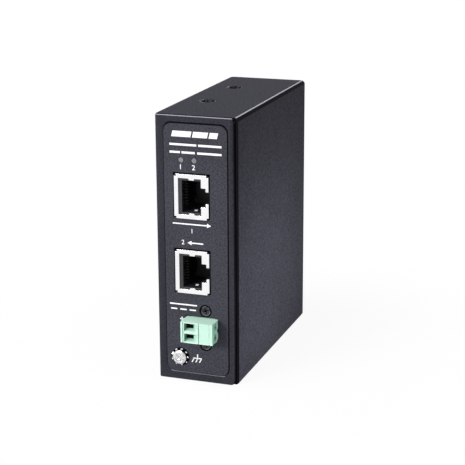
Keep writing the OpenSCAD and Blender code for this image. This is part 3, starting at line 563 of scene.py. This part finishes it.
def bevel_edges(bm, edges, width_mm, segments=2, clamp=True):
    """Round some edges by a small width."""
    bmesh.ops.bevel(bm, geom=edges, offset=width_mm * MM, offset_type="OFFSET", segments=segments,
                    profile=0.5, affect="EDGES", clamp_overlap=clamp, material=-1)


def on_front_rim(edge):
    """True for the upper edge of the front panel and the lower edge of its recess, between a face that
    looks forward and one that looks up."""
    up = max(face.normal.z for face in edge.link_faces)
    forward = min(face.normal.y for face in edge.link_faces)
    near = all(v.co.y < front_y + PANEL_DEPTH for v in edge.verts)
    outside = all(v.co.z > case_high.z - 0.3 * MM or v.co.y < front_y + 0.02 * MM for v in edge.verts)
    return near and outside and up > 0.9 and forward < -0.3


def softened(node, width_mm, front_rim_mm):
    """Copy of a CAD part with its sharp edges bevelled, which then replaces it."""
    source = frame["nodes"][node]
    mesh = source.data.copy()
    mesh.name = node + "_soft"
    bm = bmesh.new()
    bm.from_mesh(mesh)
    bmesh.ops.remove_doubles(bm, verts=bm.verts, dist=0.001 * MM)
    bmesh.ops.dissolve_degenerate(bm, edges=bm.edges, dist=0.001 * MM)
    bmesh.ops.dissolve_limit(bm, angle_limit=math.radians(0.3), verts=bm.verts, edges=bm.edges)
    volume = bm.calc_volume()
    sharp = [e for e in bm.edges if len(e.link_faces) == 2 and e.calc_face_angle(0) > SHARP]
    if front_rim_mm:
        bevel_edges(bm, [e for e in sharp if on_front_rim(e)], front_rim_mm, segments=3, clamp=False)
        sharp = [e for e in bm.edges if len(e.link_faces) == 2 and e.calc_face_angle(0) > SHARP]
    bevel_edges(bm, sharp, width_mm)
    bmesh.ops.remove_doubles(bm, verts=bm.verts, dist=0.002 * MM)
    bmesh.ops.triangulate(bm, faces=[f for f in bm.faces if len(f.verts) > 4])
    open_edges = sum(len(e.link_faces) != 2 for e in bm.edges)
    print(node, "sharp edges", len(sharp), "volume kept", round(bm.calc_volume() / volume, 4),
          "open", open_edges, "faces", len(bm.faces))
    bm.to_mesh(mesh)
    bm.free()
    shade_smooth(mesh)
    mesh.set_sharp_from_angle(angle=SMOOTH_BELOW)
    piece = new_piece(node + "_soft", mesh, BODY_OF[node])
    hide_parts(node)
    even = piece.modifiers.new("even_normals", "WEIGHTED_NORMAL")
    even.keep_sharp = True


print("edges sharper than", round(math.degrees(SHARP)), "degrees get a bevel")

# %% [markdown]
# ## Which edges are soft, and how soft
#
# Painted sheet keeps a round of a tenth of a millimetre or two, stamped tin plate less, and the moulded
# rail clip the most. The numbers are the widths of the bevels in millimetres. The front panel's upper
# rim gets a finer round of its own first, in three steps, because it catches the light as a pale line.

# %% soften the parts that show
EDGE_WIDTH_MM = {
    "chassis": 0.16, "cover": 0.10, "front_label": 0.05,
    "upper_jack_shield": 0.06, "lower_jack_shield": 0.06, "upper_jack_body": 0.08, "lower_jack_body": 0.08,
    "terminal_header": 0.12, "plug_housing": 0.10,
    "header_screws": 0.06, "cover_screws": 0.06, "bracket_screws": 0.06, "ground_screw": 0.10,
    "ground_washer": 0.04, "clamp_screw_upper": 0.06, "clamp_screw_lower": 0.06,
    "din_bracket": 0.25, "din_latch": 0.22,
}
FRONT_RIM_MM = {"chassis": 0.15}
for node_name, width_mm in EDGE_WIDTH_MM.items():
    softened(node_name, width_mm, FRONT_RIM_MM.get(node_name, 0.0))

# %% [markdown]
# ## The latch's spring
#
# The spring stands on the bracket's peg, and the latch presses it together as it is pulled down. A copy
# of the coil stands for the CAD part.

# %% copy of the spring
coil_bm = bmesh.new()
coil_bm.from_mesh(frame["nodes"]["latch_spring"].data)
bmesh.ops.remove_doubles(coil_bm, verts=coil_bm.verts, dist=0.001 * MM)
coil_mesh = frame["nodes"]["latch_spring"].data.copy()
coil_bm.to_mesh(coil_mesh)
coil_bm.free()
shade_smooth(coil_mesh)
coil = new_piece("latch_coil", coil_mesh, BODY_OF["latch_spring"])
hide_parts("latch_spring")
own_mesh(coil)

# %% [markdown]
# ## Painted shade round the label
#
# A thin black sheet is painted shade: it fills the gap round the label, where there is only shade. It
# shows as a dark line all round the label, round the two header screws, and as a dark spot under the
# toothed washer. It is drawn as flat rings, which a Solidify modifier thickens from the floor of the
# recess almost to the front.

# %% painted shade round the label
SHADE_SHEET_Y = front_y + 0.215 * MM
SHADE_SHEET_T_MM = 0.25
RECESS_LOW = Vector((-11.88, 0, 3.02)) * MM
RECESS_HIGH = Vector((11.88, 0, 93.73)) * MM
RECESS_R_MM = 3.0
LABEL_R_MM = 2.8
SCREW_HOLE_R_MM = 2.28
GROUND_SPOT_R_MM = (3.28, 2.12)


def rounded_outline(low, high, radius, steps=8):
    """Points round a rectangle with round corners, in the middle of the shade sheet."""
    points = []
    for turn, x, z in ((0, high.x - radius, high.z - radius), (1, low.x + radius, high.z - radius),
                       (2, low.x + radius, low.z + radius), (3, high.x - radius, low.z + radius)):
        for i in range(steps + 1):
            angle = math.radians(90 * turn + 90 * i / steps)
            points.append(Vector((x + radius * math.cos(angle), SHADE_SHEET_Y, z + radius * math.sin(angle))))
    return points


def add_ring(bm, outer, inner):
    """Flat band between two outlines with the same number of points."""
    rows = [[bm.verts.new(point) for point in outline] for outline in (outer, inner)]
    for i in range(len(outer)):
        j = (i + 1) % len(outer)
        bm.faces.new((rows[0][i], rows[1][i], rows[1][j], rows[0][j]))


def disc_outline(x, z, radius):
    """Circle as a rounded outline."""
    half = Vector((radius, 0, radius))
    return rounded_outline(Vector((x, 0, z)) - half, Vector((x, 0, z)) + half, radius)


# Painted shade: black rings in the gaps round the label, the header screws and the washer.
bed = bmesh.new()
add_ring(bed, rounded_outline(RECESS_LOW, RECESS_HIGH, RECESS_R_MM * MM),
         rounded_outline(label_low, label_high, LABEL_R_MM * MM))
screws_low, screws_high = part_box("header_screws")
screw_x = (screws_low.x + screws_high.x) / 2
screw_r = (screws_high.x - screws_low.x) / 2
for z in (screws_low.z + screw_r, screws_high.z - screw_r):
    add_ring(bed, disc_outline(screw_x, z, SCREW_HOLE_R_MM * MM),
             disc_outline(screw_x, z, screw_r + 0.03 * MM))
ground = centre("ground_screw")
add_ring(bed, *[disc_outline(ground.x, ground.z, radius_mm * MM) for radius_mm in GROUND_SPOT_R_MM])
bmesh.ops.recalc_face_normals(bed, faces=bed.faces)
gap_shade_mesh = bpy.data.meshes.new("label_gap_shade")
bed.to_mesh(gap_shade_mesh)
bed.free()
gap_shade_mesh.materials.append(SHADE_SHEET_FILM)
label_gap_shade = new_piece("label_gap_shade", gap_shade_mesh, "case")
thicken = label_gap_shade.modifiers.new("thickness", "SOLIDIFY")
thicken.thickness = SHADE_SHEET_T_MM * MM
thicken.offset = 0.0
print("label bed:", len(gap_shade_mesh.polygons), "faces")

# %% [markdown]
# ## Shield tabs
#
# Each jack's shield has a springy tab in the lower wall of the mouth, which grips the screen of a plug.
# It lies about 3 mm inside and catches the light as one small bright spot.

# %% shield tabs
TAB_SIZE_MM = (1.1, 1.8, 0.2)
TAB_TILT = math.radians(20)
TAB_PLACE = Vector((0.6, 2.9, -5.8)) * MM
TAB_EDGE_MM = 0.05

tabs = bmesh.new()
for node_name in ("upper_jack_body", "lower_jack_body"):
    jack = centre(node_name)
    size = Matrix.Diagonal((*[side_mm * MM for side_mm in TAB_SIZE_MM], 1))
    place = Matrix.Translation(Vector((jack.x, front_y, jack.z)) + TAB_PLACE)
    bmesh.ops.create_cube(tabs, size=1.0, matrix=place @ Matrix.Rotation(TAB_TILT, 4, "X") @ size)
bevel_edges(tabs, tabs.edges[:], TAB_EDGE_MM)
tabs_mesh = bpy.data.meshes.new("shield_tabs")
tabs.to_mesh(tabs_mesh)
tabs.free()
tabs_mesh.materials.append(DULL_TIN)
new_piece("shield_tabs", tabs_mesh, "case")
print("shield tabs:", len(tabs_mesh.polygons), "faces")

# %% [markdown]
# ## Printed marks
#
# The front carries white screen print. Here it is made of plain signs that any such device may have:
# rules where a title would be, numbers at the lights and jacks, arrows for out and in, the sign for
# direct current, a plus, and the sign for a chassis ground. A print could be a texture, but then its
# edges would blur, so every mark is a very thin raised plate. Numbers come from the built-in font.

# %% print helpers
PRINT_T = 0.03 * MM
WHITE_PRINT = coated("white_print", (0.92, 0.92, 0.95), 0.5, grain_mm=0.12, bump_mm=0.004, contrast=0.06)
middle_x = (label_low.x + label_high.x) / 2


def on_label(x_mm, z_mm):
    """Point just inside the label's skin, x from its middle line and z from the base."""
    return Vector((middle_x + x_mm * MM, label_y, case_low.z + z_mm * MM))


def bar(bm, x_mm, z_mm, width_mm, height_mm, slant=0.0):
    """Flat bar about a point; slant leans it over to the right."""
    lean = Matrix.Identity(4)
    lean[0][2] = slant
    size = Matrix.Diagonal((width_mm * MM, 2 * PRINT_T, height_mm * MM, 1))
    bmesh.ops.create_cube(bm, size=1.0, matrix=Matrix.Translation(on_label(x_mm, z_mm)) @ lean @ size)


def arrow(bm, tail_mm, tip_mm, z_mm, height_mm):
    """Arrow along the label, from the tail's x to the tip's x."""
    way = 1 if tip_mm > tail_mm else -1
    head_mm = height_mm * 0.95
    turn = Matrix.Rotation(math.radians(90), 4, "X")
    made = bmesh.ops.create_cone(bm, cap_ends=True, segments=3, radius1=1.0, radius2=1.0, depth=2 * PRINT_T)
    stretch = Matrix.Diagonal((head_mm / 1.5 * MM * way, 1, height_mm / math.sqrt(3) * MM, 1))
    point_right = Matrix.Rotation(math.radians(-90), 4, "Z")
    place = Matrix.Translation(on_label(tip_mm - way * head_mm / 1.5, z_mm))
    bmesh.ops.transform(bm, matrix=place @ stretch @ turn @ point_right, verts=made["verts"])
    neck_mm = tip_mm - way * head_mm * 0.9
    bar(bm, (tail_mm + neck_mm) / 2, z_mm, abs(neck_mm - tail_mm), height_mm * 0.28)


def number(bm, text, x_mm, z_mm, height_mm):
    """Numeral centred on a point, made from the built-in font and added to the mesh."""
    curve = bpy.data.curves.new("numeral", "FONT")
    curve.body = text
    curve.align_x = "CENTER"
    curve.align_y = "CENTER"
    curve.size = height_mm * MM / 0.7
    curve.offset = 0.01 * height_mm * MM
    curve.extrude = PRINT_T
    temporary = bpy.data.objects.new("numeral", curve)
    bpy.context.scene.collection.objects.link(temporary)
    flat = bpy.data.meshes.new_from_object(temporary.evaluated_get(bpy.context.evaluated_depsgraph_get()))
    flat.transform(Matrix.Translation(on_label(x_mm, z_mm)) @ Matrix.Rotation(math.radians(90), 4, "X"))
    bm.from_mesh(flat)
    bpy.data.objects.remove(temporary)
    bpy.data.curves.remove(curve)
    bpy.data.meshes.remove(flat)


def printed(name, bm):
    """Finish a group of marks as one piece of print on the case."""
    bmesh.ops.remove_doubles(bm, verts=bm.verts, dist=0.0005 * MM)
    bmesh.ops.recalc_face_normals(bm, faces=bm.faces)
    mesh = bpy.data.meshes.new(name)
    bm.to_mesh(mesh)
    bm.free()
    mesh.materials.append(WHITE_PRINT)
    new_piece(name, mesh, "case")
    print(name, "has", len(mesh.polygons), "faces")


print("middle line of the label at x =", round(middle_x / MM, 2), "mm")

# %% [markdown]
# ## Title rules
#
# The top of the label has room for a title and two lines of small print. Lettering would name a
# product, so plain bars of such lengths and heights stand there: three slanted ones for the title, and
# two rows of thin ones under it. A bar is a stretched cube, which is the simplest mark to place.

# %% title rules
marks = bmesh.new()
for x_mm, width_mm in ((-4.9, 7.0), (1.9, 5.4), (6.7, 3.0)):
    bar(marks, x_mm, 89.6, width_mm, 2.0, slant=0.25)
for x_mm, width_mm in ((-4.4, 9.8), (5.4, 8.4)):
    bar(marks, x_mm, 85.9, width_mm, 0.75)
for x_mm, width_mm in ((-7.4, 3.8), (-2.5, 4.8), (5.2, 8.8)):
    bar(marks, x_mm, 83.2, width_mm, 0.75)
printed("title_rules", marks)

# %% [markdown]
# ## Numbers at the lights
#
# Each light has a mark under it that says what it is for. A numeral does that without a word. Text
# objects are turned into a mesh, so that the print is one piece like the others.

# %% numbers at the lights
LIGHT_XS_MM = [-5.4, -0.6]
marks = bmesh.new()
for i, x_mm in enumerate(LIGHT_XS_MM):
    number(marks, str(i + 1), x_mm, 78.0, 1.75)
printed("light_numbers", marks)

# %% [markdown]
# ## Arrows and numbers at the jacks
#
# The print between the jacks says which one puts power and data out and which one takes data in. A
# long and a short arrow, each with a number, say it without words. An arrow is a flat three-sided cone
# for the head and a bar for the shaft.

# %% arrows and numbers at the jacks
marks = bmesh.new()
arrow(marks, -8.6, 5.6, 57.9, 1.6)
number(marks, "1", -1.5, 55.4, 1.6)
arrow(marks, 2.6, -3.2, 51.2, 1.6)
number(marks, "2", -4.9, 51.2, 1.6)
printed("jack_marks", marks)

# %% [markdown]
# ## Supply marks
#
# The terminal takes direct current. Its sign is a line over three dashes, and a plus marks the pole
# that has to be positive. All of them are bars, whose sizes are given in millimetres.

# %% direct-current sign and plus at the terminal
marks = bmesh.new()
bar(marks, -5.1, 28.4, 10.2, 0.5)
for i in range(3):
    bar(marks, -8.6 + 3.5 * i, 26.6, 2.4, 0.5)
bar(marks, -5.7, 23.0, 1.5, 0.42)
bar(marks, -5.7, 23.0, 0.42, 1.5)
printed("supply_marks", marks)

# %% [markdown]
# ## Chassis-ground sign
#
# The sign beside the ground screw is the usual one for a chassis: a stem, a bar across it and three
# slanted strokes under the bar. A slant is a shear of the same cube that makes a straight bar.

# %% chassis-ground sign
marks = bmesh.new()
bar(marks, 0.0, 8.7, 3.2, 0.42)
bar(marks, 0.0, 9.5, 0.42, 1.4)
for i in (-1, 0, 1):
    bar(marks, 1.4 * i - 0.35, 7.9, 0.42, 1.5, slant=0.5)
printed("ground_mark", marks)

# %% [markdown]
# ## World
#
# The object stands in a white studio. A world that lit it as brightly as it looks would wash out the
# black coat, so it is white to the camera and in mirrors, and much softer to everything else.

# %% world
def seen_or_mirrored(tree):
    """Socket that is 1 on rays from the camera, off a mirror or through glass, and 0 on others."""
    rays = add_node(tree, "ShaderNodeLightPath")
    seen = add_node(tree, "ShaderNodeMath", operation="MAXIMUM")
    either = add_node(tree, "ShaderNodeMath", operation="MAXIMUM")
    tree.links.new(rays.outputs["Is Camera Ray"], seen.inputs[0])
    tree.links.new(rays.outputs["Is Glossy Ray"], seen.inputs[1])
    tree.links.new(seen.outputs[0], either.inputs[0])
    tree.links.new(rays.outputs["Is Transmission Ray"], either.inputs[1])
    return either.outputs[0]


def make_world():
    """White to the camera and in reflections, softer to everything else."""
    world = bpy.data.worlds.new("studio")
    world.use_nodes = True
    tree = world.node_tree
    background = tree.nodes["Background"]
    strength = add_node(tree, "ShaderNodeMapRange")
    set_sockets(strength, To_Min=0.18, To_Max=1.0)
    background.inputs["Color"].default_value = (1, 1, 1, 1)
    tree.links.new(seen_or_mirrored(tree), strength.inputs["Value"])
    tree.links.new(strength.outputs["Result"], background.inputs["Strength"])
    bpy.context.scene.world = world


make_world()
print("world:", bpy.context.scene.world.name)

# %% [markdown]
# ## Floor
#
# The floor is pale and has no visible end. It is a wide disc, matt near the object so that it takes a
# soft shadow, and it fades to plain white a short way off, where it meets the white of the world.

# %% floor
def make_floor():
    """Pale floor that fades to white away from the object and keeps the object's shadow."""
    bm = bmesh.new()
    bmesh.ops.create_circle(bm, cap_ends=True, segments=64, radius=6.0)
    bmesh.ops.translate(bm, verts=bm.verts, vec=(0, 0, case_low.z - 0.02 * MM))
    mesh = bpy.data.meshes.new("floor")
    bm.to_mesh(mesh)
    bm.free()
    floor = bpy.data.objects.new("floor", mesh)
    bpy.context.scene.collection.objects.link(floor)
    material, tree, shader = new_material("pale_floor")
    set_sockets(shader, Base_Color=(0.95, 0.95, 0.95, 1), Roughness=0.9, Specular_IOR_Level=0.1)
    glow = add_node(tree, "ShaderNodeEmission")
    set_sockets(glow, Color=(1, 1, 1, 1), Strength=1.0)
    place = add_node(tree, "ShaderNodeTexCoord")
    away = add_node(tree, "ShaderNodeVectorMath", operation="LENGTH")
    fade = add_node(tree, "ShaderNodeMapRange", interpolation_type="SMOOTHSTEP")
    set_sockets(fade, From_Min=0.04, From_Max=0.14, To_Min=0.93, To_Max=1.0)
    share = add_node(tree, "ShaderNodeMath", operation="MULTIPLY")
    mix = add_node(tree, "ShaderNodeMixShader")
    tree.links.new(place.outputs["Object"], away.inputs[0])
    tree.links.new(away.outputs["Value"], fade.inputs["Value"])
    tree.links.new(fade.outputs["Result"], share.inputs[1])
    tree.links.new(seen_or_mirrored(tree), share.inputs[0])
    tree.links.new(share.outputs[0], mix.inputs["Fac"])
    tree.links.new(shader.outputs[0], mix.inputs[1])
    tree.links.new(glow.outputs[0], mix.inputs[2])
    tree.links.new(mix.outputs[0], tree.nodes["Material Output"].inputs["Surface"])
    mesh.materials.append(material)
    print("floor:", len(mesh.polygons), "face")


make_floor()

# %% [markdown]
# ## Lights
#
# Two soft boxes light the object from the front left, one a little and one far above it, as in a
# product studio. A small one with a narrow beam adds a glow to the right side. Area lights give soft
# edges to every highlight.

# %% lights
def soft_box(name, azimuth, elevation, distance, size, power, spread=180, target=(0, 0, 0)):
    """Area light that faces the case; azimuth 0 is in front of it and 90 on its right.
    The spread is the full angle that it shines into, and the target is in mm from the middle."""
    turn, lift = math.radians(azimuth), math.radians(elevation)
    level = math.cos(lift)
    place = distance * Vector((math.sin(turn) * level, -math.cos(turn) * level, math.sin(lift)))
    data = bpy.data.lights.new(name, "AREA")
    data.shape = "RECTANGLE"
    data.size, data.size_y = size
    data.energy = power
    data.spread = math.radians(spread)
    lamp = bpy.data.objects.new(name, data)
    lamp.location = case_middle + Vector(target) * MM + place
    lamp.rotation_mode = "QUATERNION"
    lamp.rotation_quaternion = (-place).to_track_quat("-Z", "Y")
    bpy.context.scene.collection.objects.link(lamp)


soft_box("key_box", -30, 20, 1.0, (0.3, 0.3), 6.55)
soft_box("top_box", -40, 68, 1.0, (0.6, 0.6), 6.2)
soft_box("side_box", 96, 0, 0.35, (0.08, 0.07), 0.040, spread=22, target=(15, -10, -30))

scene = bpy.context.scene
scene.view_settings.view_transform = "Standard"
print("lights:", len(bpy.data.lights))
